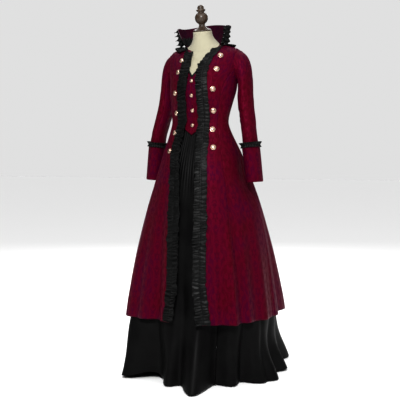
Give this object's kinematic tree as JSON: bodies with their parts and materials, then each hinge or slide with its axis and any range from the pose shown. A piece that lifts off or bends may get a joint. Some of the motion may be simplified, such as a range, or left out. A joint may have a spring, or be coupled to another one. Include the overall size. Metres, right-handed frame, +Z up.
{
  "type": "ball gown on a dress form",
  "caption": "Full-length gown on a dress form: fitted brocade coat with flared skirt, ruffle bands and domed buttons over a mock vest and gathered skirt.",
  "frame": {"origin": "on the floor at the centre of the stand's base, under its pole", "axes": "+Z up; the gown faces -Y, and its wearer's left is +X"},
  "size_m": [0.664, 0.8121, 1.5493],
  "materials": {
    "brocade": "burgundy brocade with a faint scrolling pattern",
    "taffeta": "black taffeta with a soft sheen",
    "trim": "black gathered ruffle",
    "button": "aged domed brass",
    "form": "cream cloth covered form",
    "cap_wood": "dark turned and varnished wood",
    "stand": "satin black"
  },
  "bodies": {
    "root": {"coat_front_left": "brocade", "coat_front_right": "brocade", "coat_side_front_left": "brocade", "coat_side_front_right": "brocade", "coat_side_back_left": "brocade", "coat_side_back_right": "brocade", "coat_back_left": "brocade", "coat_back_right": "brocade", "sleeve_upper_left": "brocade", "sleeve_upper_right": "brocade", "sleeve_under_left": "brocade", "sleeve_under_right": "brocade", "cuff_left": "brocade", "cuff_right": "brocade", "collar": "brocade", "vest_left": "brocade", "vest_right": "brocade", "front_ruffle_left": "trim", "front_ruffle_right": "trim", "neck_ruffle": "trim", "collar_ruffle_left": "trim", "collar_ruffle_right": "trim", "cuff_ruffle_left": "trim", "cuff_ruffle_right": "trim", "skirt_front": "taffeta", "skirt_left": "taffeta", "skirt_back": "taffeta", "skirt_right": "taffeta", "coat_button_left_1": "button", "coat_button_left_2": "button", "coat_button_left_3": "button", "coat_button_left_4": "button", "coat_button_left_5": "button", "coat_button_left_6": "button", "coat_button_right_1": "button", "coat_button_right_2": "button", "coat_button_right_3": "button", "coat_button_right_4": "button", "coat_button_right_5": "button", "coat_button_right_6": "button", "vest_button_1": "button", "vest_button_2": "button", "vest_button_3": "button", "vest_button_4": "button", "form_body": "form", "form_cap": "cap_wood", "stand_pole": "stand", "stand_base": "stand"}
  },
  "joints": []
}
